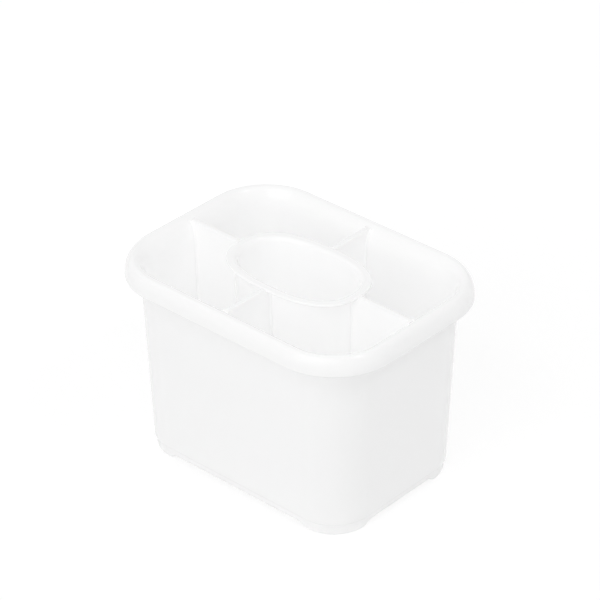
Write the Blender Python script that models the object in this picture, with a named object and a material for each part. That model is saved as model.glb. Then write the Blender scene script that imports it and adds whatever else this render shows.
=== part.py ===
"""Cutlery drainer: a rounded rectangular tub with a broad rolled rim and four corner feet, a lift-out
cross divider, and an oval cup that stands in the middle of the divider and lifts out by itself.

All three are moulded in white polypropylene. The origin is under the middle of the tub, level with
the soles of its feet. X runs along the tub, Y across it and Z up.
"""

import math

import bmesh
import bpy

# Running gap between pieces that touch
fit_gap = 0.0003

# Tub: outline and height of the rolled rim
rim_length = 0.182
rim_width = 0.137
tub_height = 0.125
rim_corner_radius = 0.0394
rim_crest_inset = 0.0050
rim_roll_depth = 0.0101
rim_edge_radius = 0.0010
rim_overhang = 0.0108
rim_flare_depth = 0.0140

# Tub: walls
tub_wall = 0.0018
body_corner_radius = 0.0243
wall_draft_degrees = 1.78

# Tub: floor
floor_height = 0.0076
floor_thickness = 0.0020
floor_fillet = 0.0040

# Tub: step at the foot of the walls, skirt and corner feet
step_top = 0.0078
step_drop = 0.0016
step_inset = 0.0015
skirt_wall = 0.0026
skirt_clearance = 0.0024
foot_edge_radius = 0.0010
foot_ramp = 0.0055

# Tub: drain holes
drain_hole_diameter = 0.0055
drain_hole_pitch_x = 0.0165
drain_hole_pitch_y = 0.0160
drain_hole_margin = 0.0035

# Divider: four wings round an oval pedestal
wing_thickness = 0.0028
wing_fillet = 0.0007
wing_hem = 0.0003
wing_corner_radius = 0.0010
pedestal_height = 0.0300
pedestal_wall = 0.0020

# Cup
lip_length = 0.0885
lip_width = 0.0572
lip_thickness = 0.0019
lip_top_drop = 0.0009
lip_overhang = 0.0043
lip_edge_radius = 0.0007
lip_crest_inset = 0.0033
cup_wall = 0.0015
cup_flare_depth = 0.0036
cup_draft_degrees = 0.55
cup_floor_thickness = 0.0018
cup_edge_radius = 0.0012
cup_floor_fillet = 0.0030
cup_oval_power = 2.5
cup_drain_hole_diameter = 0.0050
cup_drain_hole_pitch = 0.0130

# Cutters pass through what they cut by this much
overrun = 0.0020

# Facets
corner_steps = 7
ramp_steps = 4
arc_steps = 6
small_arc_steps = 3
oval_steps = 56
hole_sides = 14


def heights():
    """Levels that several pieces share, worked out from the sizes above."""
    lip_top = tub_height - lip_top_drop
    lip_underside = lip_top - lip_thickness
    return {
        "wall_top": tub_height - rim_flare_depth,
        "lip_top": lip_top,
        "lip_underside": lip_underside,
        "lip_seat": lip_underside - fit_gap,
        "wing_top": lip_top,
        "insert_bottom": floor_height + fit_gap,
        "pedestal_top": floor_height + fit_gap + pedestal_height,
        "cup_bottom": floor_height + fit_gap + pedestal_height + fit_gap,
    }


LEVEL = heights()
WALL_SLOPE = math.tan(math.radians(wall_draft_degrees))
CUP_SLOPE = math.tan(math.radians(cup_draft_degrees))


def arc(centre, radii, start, end, steps):
    """Points of an elliptical arc in the section plane, from one angle to another in degrees."""
    points = []
    for step in range(steps + 1):
        angle = math.radians(start + (end - start) * step / steps)
        points.append((centre[0] + radii[0] * math.cos(angle), centre[1] + radii[1] * math.sin(angle)))
    return points


def wall_inset(height, skin=0.0):
    """Inset of the tub's drafted wall from the rim's outline. The skin is measured inwards from its outside."""
    return rim_overhang + skin + WALL_SLOPE * (LEVEL["wall_top"] - height)


def oval_half(height):
    """Half length and half width of the cup's outer wall at a height."""
    inset = lip_overhang + CUP_SLOPE * (LEVEL["lip_underside"] - height)
    return lip_length / 2 - inset, lip_width / 2 - inset


def material(name, colour, roughness):
    """Plain plastic of one colour."""
    made = bpy.data.materials.new(name)
    made.use_nodes = True
    shader = made.node_tree.nodes["Principled BSDF"]
    shader.inputs["Base Color"].default_value = (*colour, 1.0)
    shader.inputs["Roughness"].default_value = roughness
    shader.inputs["Metallic"].default_value = 0.0
    return made


def add_object(name, made_mesh, finish=None):
    """Turns a bmesh into an object of the scene, shaded smooth where its faces run on."""
    bmesh.ops.recalc_face_normals(made_mesh, faces=made_mesh.faces)
    mesh = bpy.data.meshes.new(name)
    made_mesh.to_mesh(mesh)
    made_mesh.free()
    mesh.shade_smooth()
    mesh.set_sharp_from_angle(angle=math.radians(35))
    thing = bpy.data.objects.new(name, mesh)
    bpy.context.scene.collection.objects.link(thing)
    if finish:
        mesh.materials.append(finish)
    else:
        thing.hide_render = True
        thing.display_type = "WIRE"
    return thing


def skin_rings(shape, rings):
    """Joins rings of points, given from one end to the other, into one closed surface."""
    rows = [[shape.verts.new(point) for point in ring] for ring in rings]
    for row, following in zip(rows, rows[1:]):
        count = len(row)
        for index in range(count):
            after = (index + 1) % count
            shape.faces.new((row[index], row[after], following[after], following[index]))
    shape.faces.new(rows[0])
    shape.faces.new(rows[-1])


def cut(thing, cutter, operation="DIFFERENCE"):
    """Adds a Boolean that the object keeps."""
    modifier = thing.modifiers.new(cutter.name, "BOOLEAN")
    modifier.operation = operation
    modifier.solver = "EXACT"
    modifier.object = cutter


def foot_rise_shares():
    """How much of the skirt's clearance each point of a ring is lifted by, round the tub.

    The corner arcs stand on the ground, and an S-shaped ramp at each end of them meets the skirt.
    """
    ramp = [(1 - math.cos(math.pi * step / ramp_steps)) / 2 for step in range(1, ramp_steps + 1)]
    corner = ramp[::-1] + [0.0] * (corner_steps + 1) + ramp
    return corner * 4


def tub_ring(inset, height, corner_radius, rises=False):
    """One ring round the tub: four corner arcs, each with the points of its two foot ramps beside it."""
    half_x = rim_length / 2 - inset - corner_radius
    half_y = rim_width / 2 - inset - corner_radius
    points = []
    for quarter in range(4):
        start = quarter * math.pi / 2
        turn_x = math.cos(start + math.pi / 4)
        turn_y = math.sin(start + math.pi / 4)
        centre_x = math.copysign(half_x, turn_x)
        centre_y = math.copysign(half_y, turn_y)
        corner = []
        for step in range(corner_steps + 1):
            angle = start + math.pi / 2 * step / corner_steps
            corner.append((centre_x + corner_radius * math.cos(angle), centre_y + corner_radius * math.sin(angle)))
        before = []
        after = []
        for step in range(1, ramp_steps + 1):
            run = foot_ramp * step / ramp_steps
            before.append((corner[0][0] + run * math.sin(start), corner[0][1] - run * math.cos(start)))
            after.append((corner[-1][0] - run * math.cos(start), corner[-1][1] - run * math.sin(start)))
        points += before[::-1] + corner + after
    if rises:
        lifts = [skirt_clearance * share for share in foot_rise_shares()]
    else:
        lifts = [0.0] * len(points)
    return [(x, y, height + lift) for (x, y), lift in zip(points, lifts)]


def tub_section():
    """The tub's section as (inset, height, corner radius, follows the feet), from under the floor, out
    over the rim and down to the floor."""
    step_bottom = step_top - step_drop
    skirt_out = wall_inset(step_top) + step_inset
    skirt_in = skirt_out + skirt_wall
    skirt_radius = body_corner_radius - step_inset
    section = [
        (skirt_in, floor_height - floor_thickness, skirt_radius - skirt_wall, False),
        (skirt_in, 0.0, skirt_radius - skirt_wall, True),
    ]
    sole_edge = arc((skirt_out + foot_edge_radius, foot_edge_radius), (-foot_edge_radius, -foot_edge_radius), 90, 0, small_arc_steps)
    for inset, height in sole_edge:
        section.append((inset, height, skirt_radius - (inset - skirt_out), True))
    # The step, an S in section that tucks the skirt in under the wall
    for step in range(arc_steps + 1):
        share = step / arc_steps
        swing = (1 - math.cos(math.pi * share)) / 2
        section.append((skirt_out - step_inset * swing, step_bottom + step_drop * share, skirt_radius + step_inset * swing, False))
    # The outside of the wall up to the rim, then the hollow under the rim
    section.append((wall_inset(LEVEL["wall_top"]), LEVEL["wall_top"], body_corner_radius, False))
    crest_radius = rim_corner_radius - rim_crest_inset
    hollow_half = rim_overhang - rim_crest_inset
    hollow = arc((rim_crest_inset, LEVEL["wall_top"]), (hollow_half, rim_flare_depth - tub_wall), 0, 90, arc_steps)
    for inset, height in hollow[1:]:
        share = (inset - rim_crest_inset) / hollow_half
        section.append((inset, height, crest_radius + (body_corner_radius - crest_radius) * share, False))
    # The inside of the outer roll, its lower edge and its outside up to the crest
    roll_bottom = tub_height - rim_roll_depth - rim_edge_radius
    roll_inside = rim_crest_inset - rim_edge_radius - tub_wall
    inside = arc((rim_crest_inset, tub_height - rim_roll_depth), (-roll_inside, rim_roll_depth - tub_wall), 90, 0, arc_steps)
    for inset, height in inside[1:]:
        section.append((inset, height, rim_corner_radius - inset, False))
    lower_inset = rim_crest_inset - roll_inside
    section.append((lower_inset, roll_bottom, rim_corner_radius - lower_inset, False))
    edge = arc((rim_edge_radius, roll_bottom + rim_edge_radius), (-rim_edge_radius, -rim_edge_radius), 90, 0, small_arc_steps)
    for inset, height in edge:
        section.append((inset, height, rim_corner_radius - inset, False))
    outside = arc((rim_crest_inset, tub_height - rim_roll_depth), (-rim_crest_inset, rim_roll_depth), 0, 90, arc_steps + 1)
    for inset, height in outside[1:]:
        section.append((inset, height, rim_corner_radius - inset, False))
    # The flare from the crest down to the inside of the wall
    flare_width = rim_overhang + tub_wall - rim_crest_inset
    inner_radius = body_corner_radius - tub_wall
    flare = arc((rim_crest_inset, LEVEL["wall_top"]), (flare_width, rim_flare_depth), 90, 0, arc_steps + 2)
    for inset, height in flare[1:]:
        share = (inset - rim_crest_inset) / flare_width
        section.append((inset, height, crest_radius + (inner_radius - crest_radius) * share, False))
    # The inside of the wall, and the fillet that runs out onto the floor
    fillet_top = floor_height + floor_fillet
    fillet_centre = wall_inset(fillet_top, tub_wall) + floor_fillet
    fillet = arc((fillet_centre, fillet_top), (-floor_fillet, -floor_fillet), 0, 90, arc_steps - 1)
    for inset, height in fillet:
        section.append((inset, height, inner_radius - (inset - fillet[0][0]), False))
    return section


def drain_hole_places():
    """Centres of the tub's drain holes: a grid that leaves out what is under a wing, the pedestal or a wall."""
    floor_inset = wall_inset(floor_height, tub_wall) + floor_fillet
    half_x = rim_length / 2 - floor_inset - drain_hole_diameter / 2 - drain_hole_margin
    half_y = rim_width / 2 - floor_inset - drain_hole_diameter / 2 - drain_hole_margin
    corner = body_corner_radius - tub_wall - floor_fillet
    clear = drain_hole_diameter / 2 + drain_hole_margin
    wing_clear = wing_thickness / 2 + clear
    oval_x, oval_y = oval_half(LEVEL["pedestal_top"])
    places = []
    for column in range(int(half_x / drain_hole_pitch_x) + 1):
        for row in range(int(half_y / drain_hole_pitch_y) + 1):
            x = (column + 0.5) * drain_hole_pitch_x
            y = (row + 0.5) * drain_hole_pitch_y
            in_corner = math.hypot(max(x - half_x + corner, 0.0), max(y - half_y + corner, 0.0)) > corner
            outside = (abs(x) / (oval_x + clear)) ** cup_oval_power + (abs(y) / (oval_y + clear)) ** cup_oval_power > 1
            narrow_x = oval_x - pedestal_wall - clear
            narrow_y = oval_y - pedestal_wall - clear
            inside = (abs(x) / narrow_x) ** cup_oval_power + (abs(y) / narrow_y) ** cup_oval_power < 1
            if x > half_x or y > half_y or in_corner or min(x, y) < wing_clear or not (outside or inside):
                continue
            places += [(x, y), (-x, y), (-x, -y), (x, -y)]
    return places


def hole_cutters(name, places, diameter, low, high):
    """Upright round bars, one through each hole."""
    shape = bmesh.new()
    for x, y in places:
        rings = []
        for height in (low - overrun, high + overrun):
            ring = []
            for side in range(hole_sides):
                angle = 2 * math.pi * side / hole_sides
                ring.append((x + diameter / 2 * math.cos(angle), y + diameter / 2 * math.sin(angle), height))
            rings.append(ring)
        skin_rings(shape, rings)
    return add_object(name, shape)


def make_tub(finish):
    """The tub: one skin run round its section, with drain holes through the floor."""
    shape = bmesh.new()
    skin_rings(shape, [tub_ring(*station) for station in tub_section()])
    tub = add_object("outer_tub", shape, finish)
    low = floor_height - floor_thickness
    cut(tub, hole_cutters("drain_hole_cutters", drain_hole_places(), drain_hole_diameter, low, floor_height))
    return tub


def wing_reach(height, half):
    """How far a wing reaches out from the middle: up to the tub's inside, less the running gap."""
    fillet_top = floor_height + floor_fillet
    if height > LEVEL["wall_top"]:
        wide = rim_overhang + tub_wall - rim_crest_inset + fit_gap
        tall = rim_flare_depth + fit_gap
        rise = (height - LEVEL["wall_top"]) / tall
        reach = half - rim_crest_inset - wide * math.sqrt(1 - rise * rise)
    elif height > fillet_top:
        reach = half - wall_inset(height, tub_wall) - fit_gap
    else:
        centre = wall_inset(fillet_top, tub_wall) + floor_fillet
        drop = fillet_top - height
        reach = half - centre + math.sqrt(max((floor_fillet - fit_gap) ** 2 - drop * drop, 0.0))
    # The rounded top corner
    corner_height = LEVEL["wing_top"] - wing_corner_radius
    if height > corner_height:
        lift = height - corner_height
        corner_reach = wing_reach(corner_height, half) - wing_corner_radius
        reach = min(reach, corner_reach + math.sqrt(max(wing_corner_radius**2 - lift * lift, 0.0)))
    return reach


def wing_outline(inner, outer):
    """A wing seen from above, along +X: a plate whose two ends spread in fillets to a thin hem."""
    half = wing_thickness / 2
    spread = half + wing_fillet
    outer_fillet = arc((outer - wing_hem - wing_fillet, spread), (wing_fillet, wing_fillet), -90, 0, small_arc_steps)
    inner_fillet = arc((inner + wing_hem + wing_fillet, spread), (wing_fillet, wing_fillet), 180, 270, small_arc_steps)
    side = [(inner, spread)] + inner_fillet + outer_fillet + [(outer, spread)]
    return side + [(x, -y) for x, y in side[::-1]]


def wing_levels():
    """Heights at which a wing's outline changes."""
    low = LEVEL["insert_bottom"]
    fillet_top = floor_height + floor_fillet
    levels = []
    for step in range(arc_steps):
        angle = math.pi / 2 * step / arc_steps
        levels.append(fillet_top - (fillet_top - low) * math.cos(angle))
    levels += [fillet_top, LEVEL["pedestal_top"], LEVEL["cup_bottom"], LEVEL["wall_top"]]
    corner_height = LEVEL["wing_top"] - wing_corner_radius
    flare = corner_height - LEVEL["wall_top"]
    for step in range(1, arc_steps + 1):
        levels.append(LEVEL["wall_top"] + flare * math.sin(math.pi / 2 * step / arc_steps))
    for step in range(1, arc_steps + 1):
        levels.append(corner_height + wing_corner_radius * math.sin(math.pi / 2 * step / arc_steps))
    return levels


def add_wing(shape, half, oval_index, turn):
    """One wing. Under the cup it runs into the pedestal, and beside the cup it stands off by the running gap."""
    rings = []
    below = oval_half(LEVEL["pedestal_top"])[oval_index] - cup_edge_radius - pedestal_wall / 2
    for height in wing_levels():
        inner = oval_half(height)[oval_index] + fit_gap
        if height <= LEVEL["pedestal_top"]:
            inner = below
        outline = wing_outline(inner, wing_reach(height, half))
        cosine = math.cos(turn)
        sine = math.sin(turn)
        rings.append([(x * cosine - y * sine, x * sine + y * cosine, height) for x, y in outline])
    skin_rings(shape, rings)


def oval_ring(half_x, half_y, height, power=cup_oval_power):
    """A ring of the cup's oval, fuller than an ellipse."""
    ring = []
    for step in range(oval_steps):
        angle = 2 * math.pi * (step + 0.5) / oval_steps
        cosine = math.cos(angle)
        sine = math.sin(angle)
        x = math.copysign(abs(cosine) ** (2 / power), cosine)
        y = math.copysign(abs(sine) ** (2 / power), sine)
        ring.append((half_x * x, half_y * y, height))
    return ring


def make_divider(finish):
    """The divider: an oval pedestal and the four wings that it ties together."""
    half_x, half_y = oval_half(LEVEL["pedestal_top"])
    out_x = half_x - cup_edge_radius
    out_y = half_y - cup_edge_radius
    shape = bmesh.new()
    low = LEVEL["insert_bottom"]
    high = LEVEL["pedestal_top"]
    outer = [oval_ring(out_x, out_y, height) for height in (low, high)]
    inner = [oval_ring(out_x - pedestal_wall, out_y - pedestal_wall, height) for height in (high, low)]
    rows = [[shape.verts.new(point) for point in ring] for ring in outer + inner]
    for row, following in zip(rows, rows[1:] + rows[:1]):
        for index in range(oval_steps):
            after = (index + 1) % oval_steps
            shape.faces.new((row[index], row[after], following[after], following[index]))
    divider = add_object("divider_insert", shape, finish)
    for name, half, oval_index, turn in (
        ("wing_right", rim_length / 2, 0, 0.0),
        ("wing_back", rim_width / 2, 1, math.pi / 2),
        ("wing_left", rim_length / 2, 0, math.pi),
        ("wing_front", rim_width / 2, 1, -math.pi / 2),
    ):
        wing = bmesh.new()
        add_wing(wing, half, oval_index, turn)
        cut(divider, add_object(name, wing), "UNION")
    # The seat that the cup's lip lies in, level with the wings' tops
    seat = bmesh.new()
    seat_x = lip_length / 2 + fit_gap
    seat_y = lip_width / 2 + fit_gap
    skin_rings(seat, [oval_ring(seat_x, seat_y, height) for height in (LEVEL["lip_seat"], LEVEL["wing_top"] + overrun)])
    cut(divider, add_object("lip_seat_cutter", seat))
    return divider


def cup_section():
    """The cup's section as (inset from the lip's outline, height), from under its floor to its floor."""
    bottom = LEVEL["cup_bottom"]
    underside = LEVEL["lip_underside"]
    top = LEVEL["lip_top"]
    foot_inset = lip_overhang + CUP_SLOPE * (underside - bottom)
    section = arc((foot_inset + cup_edge_radius, bottom + cup_edge_radius), (-cup_edge_radius, -cup_edge_radius), 90, 0, small_arc_steps)
    section.append((lip_overhang, underside))
    section += arc((lip_edge_radius, underside + lip_edge_radius), (-lip_edge_radius, -lip_edge_radius), 90, 0, small_arc_steps)
    section += arc((lip_edge_radius, top - lip_edge_radius), (-lip_edge_radius, lip_edge_radius), 0, 90, small_arc_steps)
    flare_width = lip_overhang + cup_wall - lip_crest_inset
    section += arc((lip_crest_inset, top - cup_flare_depth), (flare_width, cup_flare_depth), 90, 0, arc_steps)
    fillet_top = bottom + cup_floor_thickness + cup_floor_fillet
    inner_inset = lip_overhang + cup_wall + CUP_SLOPE * (underside - fillet_top)
    section += arc((inner_inset + cup_floor_fillet, fillet_top), (-cup_floor_fillet, -cup_floor_fillet), 0, 90, small_arc_steps + 1)
    return section


def make_cup(finish):
    """The cup: one skin run round its section, with drain holes through its floor."""
    shape = bmesh.new()
    rings = [oval_ring(lip_length / 2 - inset, lip_width / 2 - inset, height) for inset, height in cup_section()]
    skin_rings(shape, rings)
    cup = add_object("centre_cup", shape, finish)
    places = [(0.0, 0.0)]
    for step in range(6):
        angle = math.pi / 3 * step
        places.append((2 * cup_drain_hole_pitch * math.cos(angle), cup_drain_hole_pitch * math.sin(angle)))
    low = LEVEL["cup_bottom"]
    high = low + cup_floor_thickness
    cut(cup, hole_cutters("cup_drain_hole_cutters", places, cup_drain_hole_diameter, low, high))
    return cup


def main():
    for thing in list(bpy.data.objects):
        bpy.data.objects.remove(thing, do_unlink=True)
    plastic = material("white_polypropylene", (0.88, 0.88, 0.87), 0.42)
    make_tub(plastic)
    make_divider(plastic)
    make_cup(plastic)


main()
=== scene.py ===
import math

import bmesh
import bpy
from mathutils import Matrix, Vector


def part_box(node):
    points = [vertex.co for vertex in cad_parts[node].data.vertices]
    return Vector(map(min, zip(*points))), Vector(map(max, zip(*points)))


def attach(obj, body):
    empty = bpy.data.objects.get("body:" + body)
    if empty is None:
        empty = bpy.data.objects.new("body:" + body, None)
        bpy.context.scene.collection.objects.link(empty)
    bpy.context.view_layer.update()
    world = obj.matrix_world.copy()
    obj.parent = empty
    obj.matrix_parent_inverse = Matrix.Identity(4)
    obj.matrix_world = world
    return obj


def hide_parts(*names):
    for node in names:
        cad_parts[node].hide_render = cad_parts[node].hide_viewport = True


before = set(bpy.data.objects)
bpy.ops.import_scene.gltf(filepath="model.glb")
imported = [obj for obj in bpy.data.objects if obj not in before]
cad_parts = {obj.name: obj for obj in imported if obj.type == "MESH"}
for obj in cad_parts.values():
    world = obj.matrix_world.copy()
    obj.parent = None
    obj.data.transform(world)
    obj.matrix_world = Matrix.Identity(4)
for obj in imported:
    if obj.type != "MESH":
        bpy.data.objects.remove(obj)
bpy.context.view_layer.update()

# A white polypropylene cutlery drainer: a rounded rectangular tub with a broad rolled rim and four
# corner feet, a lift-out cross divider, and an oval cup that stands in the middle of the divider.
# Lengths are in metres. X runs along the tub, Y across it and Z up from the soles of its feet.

bl_info = {
    "name": "Cutlery Drainer",
    "version": (1, 0, 0),
    "blender": (4, 5, 0),
    "location": "3D View > Sidebar > Drainer",
    "description": "Builds a moulded cutlery drainer with a lift-out divider and cup",
    "category": "Object",
}

TUB_LOW, TUB_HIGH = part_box("outer_tub")


def length(name, description, default):
    """A length that a user can change, in metres."""
    return bpy.props.FloatProperty(
        name=name,
        description=description,
        default=default,
        min=0.0,
        precision=5,
        unit="LENGTH",
        subtype="DISTANCE",
    )


def angle(name, description, degrees):
    """An angle that a user can change."""
    return bpy.props.FloatProperty(
        name=name, description=description, default=math.radians(degrees), unit="ROTATION", subtype="ANGLE"
    )


def linear(hex_colour):
    """Linear RGB of an sRGB hex colour."""
    channels = [int(hex_colour[place : place + 2], 16) / 255 for place in (1, 3, 5)]
    return [c / 12.92 if c <= 0.04045 else ((c + 0.055) / 1.055) ** 2.4 for c in channels]


def colour(name, description, hex_colour):
    """A colour that a user can change, kept as linear RGB."""
    return bpy.props.FloatVectorProperty(
        name=name,
        description=description,
        default=linear(hex_colour),
        size=3,
        min=0.0,
        max=1.0,
        subtype="COLOR",
    )


class TubSizes(bpy.types.PropertyGroup):
    rim_length: length("Rim length", "Tub's length over the rolled rim", TUB_HIGH[0] - TUB_LOW[0])
    rim_width: length("Rim width", "Tub's width over the rolled rim", TUB_HIGH[1] - TUB_LOW[1])
    height: length("Height", "From the feet to the crest of the rim", TUB_HIGH[2] - TUB_LOW[2])
    rim_corner_radius: length("Rim corner radius", "Outer radius of the rim's corners in plan", 0.0394)
    rim_crest_inset: length("Crest inset", "How far the rim's crest lies inside its outline", 0.0050)
    rim_roll_depth: length("Roll depth", "How far the rim rolls down outside", 0.0101)
    rim_edge_radius: length("Rim edge radius", "Rounding of the rim's lower edge", 0.0010)
    rim_overhang: length("Rim overhang", "How far the rim stands out past the wall", 0.0108)
    rim_flare_depth: length("Flare depth", "How far down the wall starts to flare to the crest", 0.0140)
    wall: length("Wall", "Wall thickness", 0.0018)
    body_corner_radius: length("Body corner radius", "Outer radius of the walls' corners", 0.0243)
    draft: angle("Draft", "Slope of the walls from upright", 1.78)
    floor_height: length("Floor height", "Top of the floor above the ground", 0.0076)
    floor_thickness: length("Floor thickness", "Thickness of the floor", 0.0020)
    floor_fillet: length("Floor fillet", "Radius between floor and wall", 0.0040)
    step_top: length("Step top", "Height at which the wall steps in to the skirt", 0.0078)
    step_drop: length("Step drop", "Height of the step itself", 0.0016)
    step_inset: length("Step inset", "How far the skirt is set in", 0.0015)
    skirt_wall: length("Skirt wall", "Thickness of the skirt and feet", 0.0026)
    skirt_clearance: length("Skirt clearance", "Height of the skirt's edge between the feet", 0.0024)
    foot_edge_radius: length("Foot edge radius", "Rounding of the feet's outer edge", 0.0010)
    foot_ramp: length("Foot ramp", "Length of the slope from a foot to the skirt", 0.0055)
    drain_hole_diameter: length("Drain hole diameter", "Diameter of the holes in the floor", 0.0055)
    drain_hole_pitch_x: length("Drain hole pitch along", "Spacing of the holes along the tub", 0.0165)
    drain_hole_pitch_y: length("Drain hole pitch across", "Spacing of the holes across the tub", 0.0160)
    drain_hole_margin: length("Drain hole margin", "Plain floor kept beside each hole", 0.0035)


class DividerSizes(bpy.types.PropertyGroup):
    fit_gap: length("Running gap", "Gap between pieces that touch", 0.0003)
    thickness: length("Wing thickness", "Thickness of the wings", 0.0028)
    fillet: length("Wing fillet", "Radius at which a wing spreads at its ends", 0.0007)
    hem: length("Wing hem", "Thickness of the spread end of a wing", 0.0003)
    top_rounding: length("Top rounding", "Rounding along the top edge of a wing", 0.0006)
    corner_radius: length("Wing corner radius", "Rounding of a wing's outer top corner", 0.0010)
    pedestal_height: length("Pedestal height", "Height of the oval wall under the cup", 0.0300)
    pedestal_wall: length("Pedestal wall", "Thickness of that wall", 0.0020)


class CupSizes(bpy.types.PropertyGroup):
    lip_length: length("Lip length", "Cup's length over its lip", 0.0885)
    lip_width: length("Lip width", "Cup's width over its lip", 0.0572)
    lip_thickness: length("Lip thickness", "Thickness of the lip at its edge", 0.0019)
    lip_top_drop: length("Lip drop", "How far the lip and the wings lie below the rim's crest", 0.0009)
    lip_overhang: length("Lip overhang", "How far the lip stands out past the cup's wall", 0.0043)
    lip_edge_radius: length("Lip edge radius", "Rounding of the lip's edge", 0.0007)
    lip_crest_inset: length("Lip crest inset", "Where the lip starts to turn down into the cup", 0.0033)
    flare_depth: length("Flare depth", "How far down the cup's wall starts to flare", 0.0036)
    wall: length("Wall", "Wall thickness", 0.0015)
    draft: angle("Draft", "Slope of the cup's wall from upright", 0.55)
    floor_thickness: length("Floor thickness", "Thickness of the cup's floor", 0.0018)
    edge_radius: length("Edge radius", "Rounding of the cup's lower edge", 0.0012)
    floor_fillet: length("Floor fillet", "Radius between floor and wall", 0.0030)
    oval_power: bpy.props.FloatProperty(
        name="Oval power", description="2 is an ellipse, and more is fuller", default=2.5, min=2.0, max=6.0
    )
    hole_diameter: length("Drain hole diameter", "Diameter of the holes in the cup's floor", 0.0050)
    hole_pitch: length("Drain hole pitch", "Spacing of those holes", 0.0130)


class DrainerFinish(bpy.types.PropertyGroup):
    tub_colour: colour("Tub", "Colour of the tub's polypropylene", "#FFFFFF")
    tub_shade: colour("Tub shade", "Colour of its denser patches", "#FEFEFE")
    insert_colour: colour("Inserts", "Colour of the divider and the cup", "#FFFFFF")
    insert_shade: colour("Insert shade", "Colour of their denser patches", "#FEFEFE")


class StageSettings(bpy.types.PropertyGroup):
    floor_radius: length("Floor radius", "Radius of the studio floor", 6.0)
    view_azimuth: angle("View azimuth", "Direction that the camera looks from, round the object", 42.098)
    view_elevation: angle("View elevation", "Height that the camera looks from", 32.111)
    view_roll: angle("View roll", "Tilt of the camera", -0.360)
    view_distance: length("View distance", "From the camera to the point that it looks at", 1.6824)
    focal_length: bpy.props.FloatProperty(
        name="Focal length", description="Focal length in millimetres", default=181.18, min=1.0
    )


# What the camera looks at and the lamps point at
VIEW_TARGET = Vector((0.00095, 0.0, 0.10347))

# Facets of the finished surfaces
CORNER_STEPS = 48
RAMP_STEPS = 10
ARC_STEPS = 22
FLARE_STEPS = 26
SMALL_ARC_STEPS = 8
OVAL_STEPS = 240
HOLE_SIDES = 32

# Edges that turn by more than the first angle are shaded crisp, and by more than the second are rounded
CRISP_ANGLE = math.radians(40)
ROUNDED_ANGLE = math.radians(50)

# Rounding of the tub's and the cup's edges, and of the divider's thinner ones
EDGE_ROUNDING = 0.0003
WING_EDGE_ROUNDING = 0.00012

# How much large flat faces outweigh small ones where they share a corner's shading
FLAT_FACE_WEIGHT = 60

# Drain holes round the one in the middle of the cup's floor
CUP_OUTER_HOLES = 6

# Real widths of the plastic's patterns: denser melt, wear, orange peel of the mould, and sink of the wall
MELT_PATCH = 0.060
WEAR_PATCH = 0.012
ORANGE_PEEL = 0.0016
WALL_SINK = 0.035

# Strength of the white room's light on the object, and of the glow that makes the paper look white
ROOM_LIGHT = 0.773
PAPER_GLOW = 0.74

# How far the floor lies under the feet, and the number of its sides
FLOOR_DROP = 0.0002
FLOOR_SIDES = 96

# How far the lamps stand from the object
LAMP_DISTANCE = 2.0

# Each lamp's name, direction round the object and upwards in degrees, width, height and watts
LAMPS = (
    ("left softbox", 7.4, 32.0, 2.00, 2.00, 7.6),
    ("left head", 7.4, 53.6, 0.20, 0.30, 0.8),
    ("right head", 94.8, 54.1, 0.20, 0.30, 2.3),
)


# Shapes


def arc(centre, radii, start, end, steps):
    """Points of an elliptical arc in the section plane, from one angle to another in degrees."""
    points = []
    for step in range(steps + 1):
        turn = math.radians(start + (end - start) * step / steps)
        points.append((centre[0] + radii[0] * math.cos(turn), centre[1] + radii[1] * math.sin(turn)))
    return points


def swell(share):
    """An S-curve from 0 to 1."""
    return (1 - math.cos(math.pi * share)) / 2


def wall_top(tub):
    """Height at which the tub's drafted wall ends and the rim begins."""
    return tub.height - tub.rim_flare_depth


def wall_inset(tub, height, skin=0.0):
    """Inset of the tub's drafted wall from the rim's outline, the skin measured inwards from its outside."""
    return tub.rim_overhang + skin + math.tan(tub.draft) * (wall_top(tub) - height)


def lip_underside(tub, cup):
    """Height of the underside of the cup's lip."""
    return tub.height - cup.lip_top_drop - cup.lip_thickness


def cup_bottom(tub, divider):
    """Height of the underside of the cup's floor, which stands on the pedestal."""
    return tub.floor_height + divider.fit_gap + divider.pedestal_height + divider.fit_gap


def oval_half(tub, cup, height):
    """Half length and half width of the cup's outer wall at a height."""
    inset = cup.lip_overhang + math.tan(cup.draft) * (lip_underside(tub, cup) - height)
    return cup.lip_length / 2 - inset, cup.lip_width / 2 - inset


def skin_rings(shape, rings, closed=False):
    """Joins rings of points into one surface. A closed one runs from the last ring back to the first."""
    rows = [[shape.verts.new(point) for point in ring] for ring in rings]
    following_rows = rows[1:] + rows[:1] if closed else rows[1:]
    for row, following in zip(rows, following_rows):
        count = len(row)
        for index in range(count):
            after = (index + 1) % count
            shape.faces.new((row[index], row[after], following[after], following[index]))
    if not closed:
        shape.faces.new(rows[0])
        shape.faces.new(rows[-1])


def add_piece(name, shape, finish=None):
    """Turns a bmesh into an object, with smooth faces and crisp edges.

    One without a finish is to be cut from another, or joined to it.
    """
    bmesh.ops.recalc_face_normals(shape, faces=shape.faces)
    mesh = bpy.data.meshes.new(name)
    shape.to_mesh(mesh)
    shape.free()
    mesh.shade_smooth()
    mesh.set_sharp_from_angle(angle=CRISP_ANGLE)
    piece = bpy.data.objects.new(name, mesh)
    bpy.context.scene.collection.objects.link(piece)
    if finish:
        mesh.materials.append(finish)
    return piece


def apply_modifiers(piece):
    """Bakes the piece's modifiers into its mesh."""
    graph = bpy.context.evaluated_depsgraph_get()
    made = bpy.data.meshes.new_from_object(piece.evaluated_get(graph))
    piece.modifiers.clear()
    piece.data = made


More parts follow.
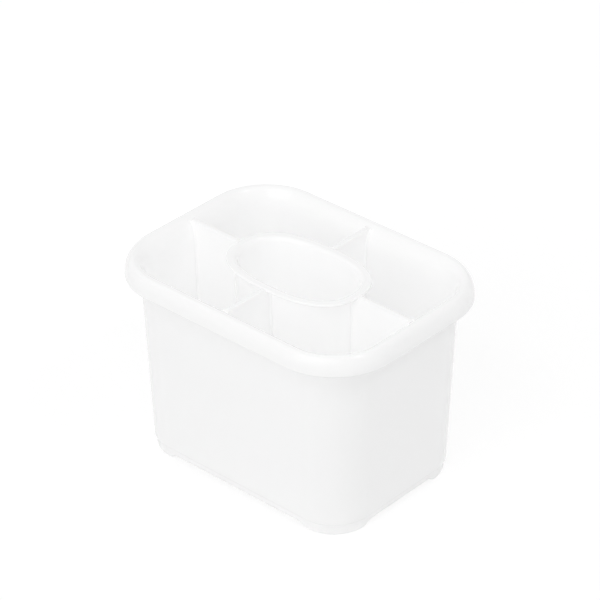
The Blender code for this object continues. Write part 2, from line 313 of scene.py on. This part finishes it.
def combine(piece, others, operation):
    """Cuts the others from the piece, or joins them to it, and removes them."""
    for other in others:
        modifier = piece.modifiers.new(other.name, "BOOLEAN")
        modifier.operation = operation
        modifier.solver = "EXACT"
        modifier.object = other
    apply_modifiers(piece)
    for other in others:
        bpy.data.objects.remove(other, do_unlink=True)
    piece.data.set_sharp_from_angle(angle=CRISP_ANGLE)


def soften_edges(piece, width, segments=3):
    """Rounds the sharp edges, as a mould leaves them, and keeps flat faces flat."""
    bevel = piece.modifiers.new("edge rounding", "BEVEL")
    bevel.width = width
    bevel.segments = segments
    bevel.limit_method = "ANGLE"
    bevel.angle_limit = ROUNDED_ANGLE
    bevel.miter_outer = "MITER_ARC"
    weighted = piece.modifiers.new("even shading", "WEIGHTED_NORMAL")
    weighted.keep_sharp = True
    weighted.weight = FLAT_FACE_WEIGHT
    apply_modifiers(piece)


def hole_bars(name, places, diameter, low, high):
    """Upright round bars that cut drain holes."""
    shape = bmesh.new()
    for x, y in places:
        rings = []
        for height in (low - diameter, high + diameter):
            ring = []
            for side in range(HOLE_SIDES):
                turn = 2 * math.pi * side / HOLE_SIDES
                ring.append((x + diameter / 2 * math.cos(turn), y + diameter / 2 * math.sin(turn), height))
            rings.append(ring)
        skin_rings(shape, rings)
    return add_piece(name, shape)


# Tub


def foot_lift_shares():
    """How much of the skirt's clearance lifts each point of a ring. The corners stand on the ground."""
    ramp = [swell(step / RAMP_STEPS) for step in range(1, RAMP_STEPS + 1)]
    corner = ramp[::-1] + [0.0] * (CORNER_STEPS + 1) + ramp
    return corner * 4


def tub_ring(tub, inset, height, corner_radius, rises=False):
    """One ring round the tub: four corner arcs, each with the points of its two foot ramps beside it."""
    half_x = tub.rim_length / 2 - inset - corner_radius
    half_y = tub.rim_width / 2 - inset - corner_radius
    points = []
    for quarter in range(4):
        start = quarter * math.pi / 2
        centre_x = math.copysign(half_x, math.cos(start + math.pi / 4))
        centre_y = math.copysign(half_y, math.sin(start + math.pi / 4))
        corner = []
        for step in range(CORNER_STEPS + 1):
            turn = start + math.pi / 2 * step / CORNER_STEPS
            x = centre_x + corner_radius * math.cos(turn)
            y = centre_y + corner_radius * math.sin(turn)
            corner.append((x, y))
        before = []
        after = []
        for step in range(1, RAMP_STEPS + 1):
            run = tub.foot_ramp * step / RAMP_STEPS
            before.append((corner[0][0] + run * math.sin(start), corner[0][1] - run * math.cos(start)))
            after.append((corner[-1][0] - run * math.cos(start), corner[-1][1] - run * math.sin(start)))
        points += before[::-1] + corner + after
    lifts = foot_lift_shares() if rises else [0.0] * len(points)
    return [(x, y, height + tub.skirt_clearance * lift) for (x, y), lift in zip(points, lifts)]


def tub_section(tub):
    """The tub's section as (inset, height, corner radius, follows the feet), from under the floor, out
    over the rim and down to the floor."""
    top = wall_top(tub)
    skirt_out = wall_inset(tub, tub.step_top) + tub.step_inset
    skirt_in = skirt_out + tub.skirt_wall
    skirt_radius = tub.body_corner_radius - tub.step_inset
    inner_skirt_radius = skirt_radius - tub.skirt_wall
    floor_under = tub.floor_height - tub.floor_thickness
    section = [(skirt_in, floor_under, inner_skirt_radius, False)]
    # The sole, rounded inside and outside
    edge = tub.foot_edge_radius
    inner_edge = edge / 2
    sole = arc((skirt_in - inner_edge, inner_edge), (inner_edge, -inner_edge), 0, 90, SMALL_ARC_STEPS)
    sole += arc((skirt_out + edge, edge), (-edge, -edge), 90, 0, SMALL_ARC_STEPS)
    for inset, height in sole:
        section.append((inset, height, skirt_radius - (inset - skirt_out), True))
    # The step that tucks the skirt in under the wall
    for step in range(ARC_STEPS + 1):
        share = step / ARC_STEPS
        out = tub.step_inset * swell(share)
        height = tub.step_top - tub.step_drop * (1 - share)
        section.append((skirt_out - out, height, skirt_radius + out, False))
    # The outside of the wall up to the rim, then the hollow under the rim
    section.append((wall_inset(tub, top), top, tub.body_corner_radius, False))
    crest_radius = tub.rim_corner_radius - tub.rim_crest_inset
    hollow_half = tub.rim_overhang - tub.rim_crest_inset
    crown = (hollow_half, tub.rim_flare_depth - tub.wall)
    hollow = arc((tub.rim_crest_inset, top), crown, 0, 90, ARC_STEPS)
    for inset, height in hollow[1:]:
        share = (inset - tub.rim_crest_inset) / hollow_half
        section.append((inset, height, crest_radius + (tub.body_corner_radius - crest_radius) * share, False))
    # The inside of the outer roll, its lower edge, and its outside up to the crest
    roll_centre = (tub.rim_crest_inset, tub.height - tub.rim_roll_depth)
    roll_bottom = tub.height - tub.rim_roll_depth - tub.rim_edge_radius
    roll_inside = tub.rim_crest_inset - tub.rim_edge_radius - tub.wall
    rim_edge = tub.rim_edge_radius
    roll = arc(roll_centre, (-roll_inside, tub.rim_roll_depth - tub.wall), 90, 0, ARC_STEPS)[1:]
    roll.append((tub.rim_crest_inset - roll_inside, roll_bottom))
    roll += arc((rim_edge, roll_bottom + rim_edge), (-rim_edge, -rim_edge), 90, 0, SMALL_ARC_STEPS)
    roll += arc(roll_centre, (-tub.rim_crest_inset, tub.rim_roll_depth), 0, 90, ARC_STEPS)[1:]
    for inset, height in roll:
        section.append((inset, height, tub.rim_corner_radius - inset, False))
    # The flare from the crest down to the inside of the wall
    flare_width = tub.rim_overhang + tub.wall - tub.rim_crest_inset
    inner_radius = tub.body_corner_radius - tub.wall
    flare = arc((tub.rim_crest_inset, top), (flare_width, tub.rim_flare_depth), 90, 0, FLARE_STEPS)
    for inset, height in flare[1:]:
        share = (inset - tub.rim_crest_inset) / flare_width
        section.append((inset, height, crest_radius + (inner_radius - crest_radius) * share, False))
    # The inside of the wall, and the fillet that runs out onto the floor
    fillet_top = tub.floor_height + tub.floor_fillet
    fillet_centre = wall_inset(tub, fillet_top, tub.wall) + tub.floor_fillet
    fillet = arc((fillet_centre, fillet_top), (-tub.floor_fillet, -tub.floor_fillet), 0, 90, ARC_STEPS)
    for inset, height in fillet:
        section.append((inset, height, inner_radius - (inset - fillet[0][0]), False))
    return section


def drain_hole_places(tub, divider, cup):
    """Centres of the tub's drain holes: a grid without those under a wing, the pedestal or a wall."""
    clear = tub.drain_hole_diameter / 2 + tub.drain_hole_margin
    floor_inset = wall_inset(tub, tub.floor_height, tub.wall) + tub.floor_fillet
    half_x = tub.rim_length / 2 - floor_inset - clear
    half_y = tub.rim_width / 2 - floor_inset - clear
    corner = tub.body_corner_radius - tub.wall - tub.floor_fillet
    oval_x, oval_y = oval_half(tub, cup, cup_bottom(tub, divider) - divider.fit_gap)
    places = []
    for column in range(int(half_x / tub.drain_hole_pitch_x) + 1):
        for row in range(int(half_y / tub.drain_hole_pitch_y) + 1):
            x = (column + 0.5) * tub.drain_hole_pitch_x
            y = (row + 0.5) * tub.drain_hole_pitch_y
            in_corner = math.hypot(max(x - half_x + corner, 0.0), max(y - half_y + corner, 0.0)) > corner
            outside = (x / (oval_x + clear)) ** cup.oval_power + (y / (oval_y + clear)) ** cup.oval_power > 1
            narrow_x = oval_x - divider.pedestal_wall - clear
            narrow_y = oval_y - divider.pedestal_wall - clear
            inside = (x / narrow_x) ** cup.oval_power + (y / narrow_y) ** cup.oval_power < 1
            near_wing = min(x, y) < divider.thickness / 2 + clear
            if x > half_x or y > half_y or in_corner or near_wing or not (outside or inside):
                continue
            places += [(x, y), (-x, y), (-x, -y), (x, -y)]
    return places


# Divider


def wing_reach(tub, divider, height, half, top):
    """How far a wing reaches out from the middle: up to the tub's inside, less the running gap."""
    gap = divider.fit_gap
    fillet_top = tub.floor_height + tub.floor_fillet
    if height > wall_top(tub):
        wide = tub.rim_overhang + tub.wall - tub.rim_crest_inset + gap
        rise = (height - wall_top(tub)) / (tub.rim_flare_depth + gap)
        reach = half - tub.rim_crest_inset - wide * math.sqrt(1 - rise * rise)
    elif height > fillet_top:
        reach = half - wall_inset(tub, height, tub.wall) - gap
    else:
        centre = wall_inset(tub, fillet_top, tub.wall) + tub.floor_fillet
        drop = fillet_top - height
        reach = half - centre + math.sqrt(max((tub.floor_fillet - gap) ** 2 - drop * drop, 0.0))
    corner_height = top - divider.corner_radius
    if height > corner_height:
        lift = height - corner_height
        corner_reach = wing_reach(tub, divider, corner_height, half, top) - divider.corner_radius
        reach = min(reach, corner_reach + math.sqrt(max(divider.corner_radius**2 - lift * lift, 0.0)))
    return reach


def wing_outline(divider, inner, outer, half_thickness):
    """A wing seen from above, along +X: a plate whose two ends spread in fillets to a thin hem."""
    fillet = divider.fillet
    hem = divider.hem
    spread = half_thickness + fillet
    outer_fillet = arc((outer - hem - fillet, spread), (fillet, fillet), -90, 0, SMALL_ARC_STEPS)
    inner_fillet = arc((inner + hem + fillet, spread), (fillet, fillet), 180, 270, SMALL_ARC_STEPS)
    side = [(inner, spread)] + inner_fillet + outer_fillet + [(outer, spread)]
    return side + [(x, -y) for x, y in side[::-1]]


def wing_levels(tub, divider, top):
    """Heights at which a wing's outline changes."""
    low = tub.floor_height + divider.fit_gap
    fillet_top = tub.floor_height + tub.floor_fillet
    pedestal_top = low + divider.pedestal_height
    levels = []
    for step in range(ARC_STEPS):
        levels.append(fillet_top - (fillet_top - low) * math.cos(math.pi / 2 * step / ARC_STEPS))
    levels += [fillet_top, pedestal_top, pedestal_top + divider.fit_gap, wall_top(tub)]
    corner_height = top - divider.corner_radius
    flare = corner_height - wall_top(tub)
    for step in range(1, ARC_STEPS + 1):
        levels.append(wall_top(tub) + flare * math.sin(math.pi / 2 * step / ARC_STEPS))
    for step in range(1, ARC_STEPS + 1):
        levels.append(corner_height + divider.corner_radius * math.sin(math.pi / 2 * step / ARC_STEPS))
    return levels


def add_wing(shape, tub, divider, cup, half, oval_index, turn):
    """One wing. Under the cup it runs into the pedestal, and beside it stands off by the running gap.

    The half is that of the rim along the wing, and the oval index picks the same half of the cup.
    """
    top = tub.height - cup.lip_top_drop
    pedestal_top = tub.floor_height + divider.fit_gap + divider.pedestal_height
    below = oval_half(tub, cup, pedestal_top)[oval_index] - cup.edge_radius - divider.pedestal_wall / 2
    rounding = divider.top_rounding
    cosine = math.cos(turn)
    sine = math.sin(turn)
    rings = []
    for height in wing_levels(tub, divider, top):
        inner = oval_half(tub, cup, height)[oval_index] + divider.fit_gap
        if height <= pedestal_top + divider.fit_gap / 2:
            inner = below
        half_thickness = divider.thickness / 2
        rise = height - (top - rounding)
        if rise > 0:
            half_thickness -= rounding - math.sqrt(max(rounding * rounding - rise * rise, 0.0))
        outline = wing_outline(divider, inner, wing_reach(tub, divider, height, half, top), half_thickness)
        rings.append([(x * cosine - y * sine, x * sine + y * cosine, height) for x, y in outline])
    skin_rings(shape, rings)


# Cup


def oval_ring(half_x, half_y, height, power):
    """A ring of the cup's oval, fuller than an ellipse."""
    ring = []
    for step in range(OVAL_STEPS):
        turn = 2 * math.pi * (step + 0.5) / OVAL_STEPS
        cosine = math.cos(turn)
        sine = math.sin(turn)
        x = math.copysign(abs(cosine) ** (2 / power), cosine)
        y = math.copysign(abs(sine) ** (2 / power), sine)
        ring.append((half_x * x, half_y * y, height))
    return ring


def cup_section(tub, divider, cup):
    """The cup's section as (inset from the lip's outline, height), from under its floor to its floor."""
    bottom = cup_bottom(tub, divider)
    underside = lip_underside(tub, cup)
    top = tub.height - cup.lip_top_drop
    slope = math.tan(cup.draft)
    edge = cup.edge_radius
    lip_edge = cup.lip_edge_radius
    foot_inset = cup.lip_overhang + slope * (underside - bottom)
    section = arc((foot_inset + edge, bottom + edge), (-edge, -edge), 90, 0, SMALL_ARC_STEPS)
    # The root of the lip, rounded where it turns out from the wall
    root = lip_edge
    section += arc((cup.lip_overhang - root, underside - root), (root, root), 0, 90, SMALL_ARC_STEPS)
    section += arc((lip_edge, underside + lip_edge), (-lip_edge, -lip_edge), 90, 0, SMALL_ARC_STEPS)
    section += arc((lip_edge, top - lip_edge), (-lip_edge, lip_edge), 0, 90, SMALL_ARC_STEPS)
    flare_width = cup.lip_overhang + cup.wall - cup.lip_crest_inset
    flare_centre = (cup.lip_crest_inset, top - cup.flare_depth)
    section += arc(flare_centre, (flare_width, cup.flare_depth), 90, 0, ARC_STEPS)
    fillet_top = bottom + cup.floor_thickness + cup.floor_fillet
    inner_inset = cup.lip_overhang + cup.wall + slope * (underside - fillet_top)
    fillet = cup.floor_fillet
    section += arc((inner_inset + fillet, fillet_top), (-fillet, -fillet), 0, 90, ARC_STEPS)
    return section


# Finishes


def add_node(tree, kind, settings=None, links=None):
    """Adds a node, sets its properties and input values, and links its inputs from other nodes' outputs."""
    node = tree.nodes.new(kind)
    for name, value in (settings or {}).items():
        if hasattr(node, name):
            setattr(node, name, value)
        else:
            node.inputs[name].default_value = value
    for name, source in (links or {}).items():
        tree.links.new(source, node.inputs[name])
    return node


def moulded_polypropylene(name, base, shade, offset):
    """Injection-moulded white polypropylene, polished mould.

    A clear sheen that shows each lamp as a small soft highlight on the rim, a faint orange peel that
    breaks up reflections, walls that sink in by a hair, and denser patches where the melt met. The
    offset moves the patterns, so that no two mouldings share them.
    """
    made = bpy.data.materials.new(name)
    made.use_nodes = True
    tree = made.node_tree
    tree.nodes.clear()
    place = add_node(tree, "ShaderNodeTexCoord")
    moved = add_node(
        tree,
        "ShaderNodeMapping",
        {"Location": (offset, offset / 2, -offset)},
        {"Vector": place.outputs["Object"]},
    )
    where = moved.outputs["Vector"]
    # Patches of denser melt
    patches = add_node(
        tree,
        "ShaderNodeTexNoise",
        {"Scale": 1 / MELT_PATCH, "Detail": 3.0, "Roughness": 0.55},
        {"Vector": where},
    )
    tint = add_node(
        tree,
        "ShaderNodeMixRGB",
        {"Color1": (*base, 1.0), "Color2": (*shade, 1.0)},
        {"Fac": patches.outputs["Fac"]},
    )
    # Handling and mould wear, which dulls the sheen in places
    wear = add_node(
        tree,
        "ShaderNodeTexNoise",
        {"Scale": 1 / WEAR_PATCH, "Detail": 4.0, "Roughness": 0.6},
        {"Vector": where},
    )
    sheen = add_node(
        tree,
        "ShaderNodeMapRange",
        {"From Min": 0.3, "From Max": 0.7, "To Min": 0.12, "To Max": 0.16},
        {"Value": wear.outputs["Fac"]},
    )
    # Orange peel of the mould
    peel = add_node(
        tree,
        "ShaderNodeTexNoise",
        {"Scale": 1 / ORANGE_PEEL, "Detail": 2.0, "Roughness": 0.4},
        {"Vector": where},
    )
    # Sink and warp of the wall
    sink = add_node(
        tree,
        "ShaderNodeTexNoise",
        {"Scale": 1 / WALL_SINK, "Detail": 1.0, "Roughness": 0.3},
        {"Vector": where},
    )
    fine = add_node(
        tree,
        "ShaderNodeBump",
        {"Strength": 0.10, "Distance": 0.00003},
        {"Height": peel.outputs["Fac"]},
    )
    broad = add_node(
        tree,
        "ShaderNodeBump",
        {"Strength": 0.35, "Distance": 0.0004},
        {"Height": sink.outputs["Fac"], "Normal": fine.outputs["Normal"]},
    )
    shader = add_node(
        tree,
        "ShaderNodeBsdfPrincipled",
        {"IOR": 1.49, "Specular IOR Level": 0.5},
        {
            "Base Color": tint.outputs["Color"],
            "Roughness": sheen.outputs["Result"],
            "Normal": broad.outputs["Normal"],
        },
    )
    add_node(tree, "ShaderNodeOutputMaterial", {}, {"Surface": shader.outputs["BSDF"]})
    return made


def plainly_seen(tree):
    """1 for what the camera, reflections and see-through surfaces look at, and 0 for light on the object."""
    path = add_node(tree, "ShaderNodeLightPath")
    camera_or_glossy = add_node(
        tree,
        "ShaderNodeMath",
        {"operation": "MAXIMUM"},
        {0: path.outputs["Is Camera Ray"], 1: path.outputs["Is Glossy Ray"]},
    )
    seen = add_node(
        tree,
        "ShaderNodeMath",
        {"operation": "MAXIMUM"},
        {0: camera_or_glossy.outputs["Value"], 1: path.outputs["Is Transmission Ray"]},
    )
    return seen.outputs["Value"]


def studio_paper(name):
    """Matt white paper. It returns light to the object as white paper does, and the camera and
    reflections see it as white with the object's soft shadow on it."""
    made = bpy.data.materials.new(name)
    made.use_nodes = True
    tree = made.node_tree
    tree.nodes.clear()
    paper = add_node(tree, "ShaderNodeBsdfDiffuse", {"Color": (*linear("#F2F2F2"), 1.0), "Roughness": 0.9})
    shadow = add_node(tree, "ShaderNodeBsdfDiffuse", {"Color": (*linear("#9A9A9A"), 1.0), "Roughness": 0.9})
    glow = add_node(tree, "ShaderNodeEmission", {"Color": (1.0, 1.0, 1.0, 1.0), "Strength": PAPER_GLOW})
    seen = add_node(tree, "ShaderNodeAddShader")
    tree.links.new(shadow.outputs["BSDF"], seen.inputs[0])
    tree.links.new(glow.outputs["Emission"], seen.inputs[1])
    pick = add_node(tree, "ShaderNodeMixShader", {}, {"Fac": plainly_seen(tree)})
    tree.links.new(paper.outputs["BSDF"], pick.inputs[1])
    tree.links.new(seen.outputs["Shader"], pick.inputs[2])
    add_node(tree, "ShaderNodeOutputMaterial", {}, {"Surface": pick.outputs["Shader"]})
    return made


# Stage


def soft_box(name, azimuth, elevation, width, height, power):
    """A rectangular studio lamp that faces the object, placed by its direction from it."""
    turn = math.radians(azimuth)
    tilt = math.radians(elevation)
    away = Vector((math.sin(turn) * math.cos(tilt), -math.cos(turn) * math.cos(tilt), math.sin(tilt)))
    data = bpy.data.lights.new(name, "AREA")
    data.shape = "RECTANGLE"
    data.size = width
    data.size_y = height
    data.energy = power
    lamp = bpy.data.objects.new(name, data)
    facing = away.to_track_quat("Z", "Y").to_matrix().to_4x4()
    lamp.matrix_world = Matrix.Translation(VIEW_TARGET + away * LAMP_DISTANCE) @ facing
    bpy.context.scene.collection.objects.link(lamp)


def studio_world():
    """An even white room. What the camera and mirror-like surfaces see of it is plain white."""
    world = bpy.data.worlds.new("white room")
    bpy.context.scene.world = world
    world.use_nodes = True
    tree = world.node_tree
    tree.nodes.clear()
    lit = add_node(tree, "ShaderNodeBackground", {"Color": (1.0, 1.0, 1.0, 1.0), "Strength": ROOM_LIGHT})
    seen = add_node(tree, "ShaderNodeBackground", {"Color": (1.0, 1.0, 1.0, 1.0), "Strength": 1.0})
    pick = add_node(tree, "ShaderNodeMixShader", {}, {"Fac": plainly_seen(tree)})
    tree.links.new(lit.outputs["Background"], pick.inputs[1])
    tree.links.new(seen.outputs["Background"], pick.inputs[2])
    add_node(tree, "ShaderNodeOutputWorld", {}, {"Surface": pick.outputs["Shader"]})


def studio_camera(stage):
    """The camera, from the direction and distance of the photograph."""
    azimuth = stage.view_azimuth
    elevation = stage.view_elevation
    roll = stage.view_roll
    back = Vector(
        (
            math.sin(azimuth) * math.cos(elevation),
            -math.cos(azimuth) * math.cos(elevation),
            math.sin(elevation),
        )
    )
    right = Vector((math.cos(azimuth), math.sin(azimuth), 0.0))
    up = back.cross(right)
    turned_right = right * math.cos(roll) + up * math.sin(roll)
    turned_up = up * math.cos(roll) - right * math.sin(roll)
    data = bpy.data.cameras.new("studio camera")
    data.sensor_width = 36.0
    data.sensor_fit = "HORIZONTAL"
    data.lens = stage.focal_length
    data.clip_start = 0.05
    data.clip_end = 50.0
    camera = bpy.data.objects.new("studio camera", data)
    turn = Matrix((turned_right, turned_up, back)).transposed().to_4x4()
    camera.matrix_world = Matrix.Translation(VIEW_TARGET + back * stage.view_distance) @ turn
    bpy.context.scene.collection.objects.link(camera)
    bpy.context.scene.camera = camera


# Operators


def settings_of(scene):
    """The sizes of the tub, the divider and the cup, and the finish."""
    return scene.drainer_tub, scene.drainer_divider, scene.drainer_cup, scene.drainer_finish


class DRAINER_OT_tub(bpy.types.Operator):
    """Builds the tub, with its rolled rim, drain floor, step, skirt and four corner feet"""

    bl_idname = "drainer.tub"
    bl_label = "Tub"

    def execute(self, context):
        tub, divider, cup, finish = settings_of(context.scene)
        shape = bmesh.new()
        skin_rings(shape, [tub_ring(tub, *station) for station in tub_section(tub)])
        plastic = moulded_polypropylene(
            "moulded polypropylene, tub", finish.tub_colour, finish.tub_shade, offset=0.013
        )
        piece = add_piece("drainer_tub", shape, plastic)
        places = drain_hole_places(tub, divider, cup)
        low = tub.floor_height - tub.floor_thickness
        bars = hole_bars("drain_hole_bars", places, tub.drain_hole_diameter, low, tub.floor_height)
        combine(piece, [bars], "DIFFERENCE")
        soften_edges(piece, EDGE_ROUNDING)
        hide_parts("outer_tub")
        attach(piece, "tub")
        return {"FINISHED"}


class DRAINER_OT_divider(bpy.types.Operator):
    """Builds the divider: an oval pedestal and four wings"""

    bl_idname = "drainer.divider"
    bl_label = "Divider"

    def execute(self, context):
        tub, divider, cup, finish = settings_of(context.scene)
        low = tub.floor_height + divider.fit_gap
        high = low + divider.pedestal_height
        half_x, half_y = oval_half(tub, cup, high)
        out_x = half_x - cup.edge_radius
        out_y = half_y - cup.edge_radius
        wall = divider.pedestal_wall
        rings = [oval_ring(out_x, out_y, height, cup.oval_power) for height in (low, high)]
        rings += [oval_ring(out_x - wall, out_y - wall, height, cup.oval_power) for height in (high, low)]
        shape = bmesh.new()
        skin_rings(shape, rings, closed=True)
        plastic = moulded_polypropylene(
            "moulded polypropylene, inserts", finish.insert_colour, finish.insert_shade, offset=0.031
        )
        piece = add_piece("drainer_divider", shape, plastic)
        wings = []
        for name, half, oval_index, turn in (
            ("wing_right", tub.rim_length / 2, 0, 0.0),
            ("wing_back", tub.rim_width / 2, 1, math.pi / 2),
            ("wing_left", tub.rim_length / 2, 0, math.pi),
            ("wing_front", tub.rim_width / 2, 1, -math.pi / 2),
        ):
            wing = bmesh.new()
            add_wing(wing, tub, divider, cup, half, oval_index, turn)
            wings.append(add_piece(name, wing))
        combine(piece, wings, "UNION")
        # The seat that the cup's lip lies in, level with the wings' tops. Its cutter stands well above them.
        seat_x = cup.lip_length / 2 + divider.fit_gap
        seat_y = cup.lip_width / 2 + divider.fit_gap
        levels = (lip_underside(tub, cup) - divider.fit_gap, tub.height + seat_y)
        seat = bmesh.new()
        skin_rings(seat, [oval_ring(seat_x, seat_y, height, cup.oval_power) for height in levels])
        combine(piece, [add_piece("lip_seat", seat)], "DIFFERENCE")
        soften_edges(piece, WING_EDGE_ROUNDING, segments=2)
        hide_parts("divider_insert")
        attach(piece, "divider")
        return {"FINISHED"}


class DRAINER_OT_cup(bpy.types.Operator):
    """Builds the oval cup, with its overhanging lip and drain floor"""

    bl_idname = "drainer.cup"
    bl_label = "Cup"

    def execute(self, context):
        tub, divider, cup, finish = settings_of(context.scene)
        half_x = cup.lip_length / 2
        half_y = cup.lip_width / 2
        rings = []
        for inset, height in cup_section(tub, divider, cup):
            rings.append(oval_ring(half_x - inset, half_y - inset, height, cup.oval_power))
        shape = bmesh.new()
        skin_rings(shape, rings)
        plastic = moulded_polypropylene(
            "moulded polypropylene, cup", finish.insert_colour, finish.insert_shade, offset=0.057
        )
        piece = add_piece("drainer_cup", shape, plastic)
        places = [(0.0, 0.0)]
        for step in range(CUP_OUTER_HOLES):
            turn = 2 * math.pi / CUP_OUTER_HOLES * step
            places.append((2 * cup.hole_pitch * math.cos(turn), cup.hole_pitch * math.sin(turn)))
        low = cup_bottom(tub, divider)
        bars = hole_bars("cup_hole_bars", places, cup.hole_diameter, low, low + cup.floor_thickness)
        combine(piece, [bars], "DIFFERENCE")
        soften_edges(piece, EDGE_ROUNDING)
        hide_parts("centre_cup")
        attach(piece, "cup")
        return {"FINISHED"}


class DRAINER_OT_stage(bpy.types.Operator):
    """Builds the white studio: floor, room, lamps and camera"""

    bl_idname = "drainer.stage"
    bl_label = "Stage"

    def execute(self, context):
        scene = context.scene
        stage = scene.drainer_stage
        shape = bmesh.new()
        bmesh.ops.create_circle(shape, cap_ends=True, radius=stage.floor_radius, segments=FLOOR_SIDES)
        floor = add_piece("studio_floor", shape, studio_paper("matt white paper"))
        floor.location.z = TUB_LOW[2] - FLOOR_DROP
        studio_world()
        for lamp in LAMPS:
            soft_box(*lamp)
        studio_camera(stage)
        scene.view_settings.view_transform = "Standard"
        # White walls that face each other pass light on many times. Their sheen keeps its share of it only
        # where later bounces aren't blurred.
        scene.cycles.diffuse_bounces = 40
        scene.cycles.glossy_bounces = 40
        scene.cycles.max_bounces = 48
        scene.cycles.blur_glossy = 0.0
        return {"FINISHED"}


class DRAINER_PT_panel(bpy.types.Panel):
    bl_label = "Cutlery Drainer"
    bl_idname = "DRAINER_PT_panel"
    bl_space_type = "VIEW_3D"
    bl_region_type = "UI"
    bl_category = "Drainer"

    def draw(self, context):
        layout = self.layout
        for title, settings, operator in (
            ("Tub", context.scene.drainer_tub, "drainer.tub"),
            ("Divider", context.scene.drainer_divider, "drainer.divider"),
            ("Cup", context.scene.drainer_cup, "drainer.cup"),
            ("Stage", context.scene.drainer_stage, "drainer.stage"),
        ):
            box = layout.box()
            box.label(text=title)
            for name in settings.__annotations__:
                box.prop(settings, name)
            box.operator(operator)
        box = layout.box()
        box.label(text="Finish")
        for name in DrainerFinish.__annotations__:
            box.prop(context.scene.drainer_finish, name)


GROUPS = {
    "drainer_tub": TubSizes,
    "drainer_divider": DividerSizes,
    "drainer_cup": CupSizes,
    "drainer_finish": DrainerFinish,
    "drainer_stage": StageSettings,
}
OPERATORS = (DRAINER_OT_tub, DRAINER_OT_divider, DRAINER_OT_cup, DRAINER_OT_stage)


def register():
    for name, group in GROUPS.items():
        bpy.utils.register_class(group)
        setattr(bpy.types.Scene, name, bpy.props.PointerProperty(type=group))
    for operator in OPERATORS:
        bpy.utils.register_class(operator)
    bpy.utils.register_class(DRAINER_PT_panel)


def unregister():
    bpy.utils.unregister_class(DRAINER_PT_panel)
    for operator in reversed(OPERATORS):
        bpy.utils.unregister_class(operator)
    for name, group in reversed(GROUPS.items()):
        delattr(bpy.types.Scene, name)
        bpy.utils.unregister_class(group)


def main():
    register()
    bpy.ops.drainer.tub()
    bpy.ops.drainer.divider()
    bpy.ops.drainer.cup()
    bpy.ops.drainer.stage()


if __name__ == "__main__":
    main()
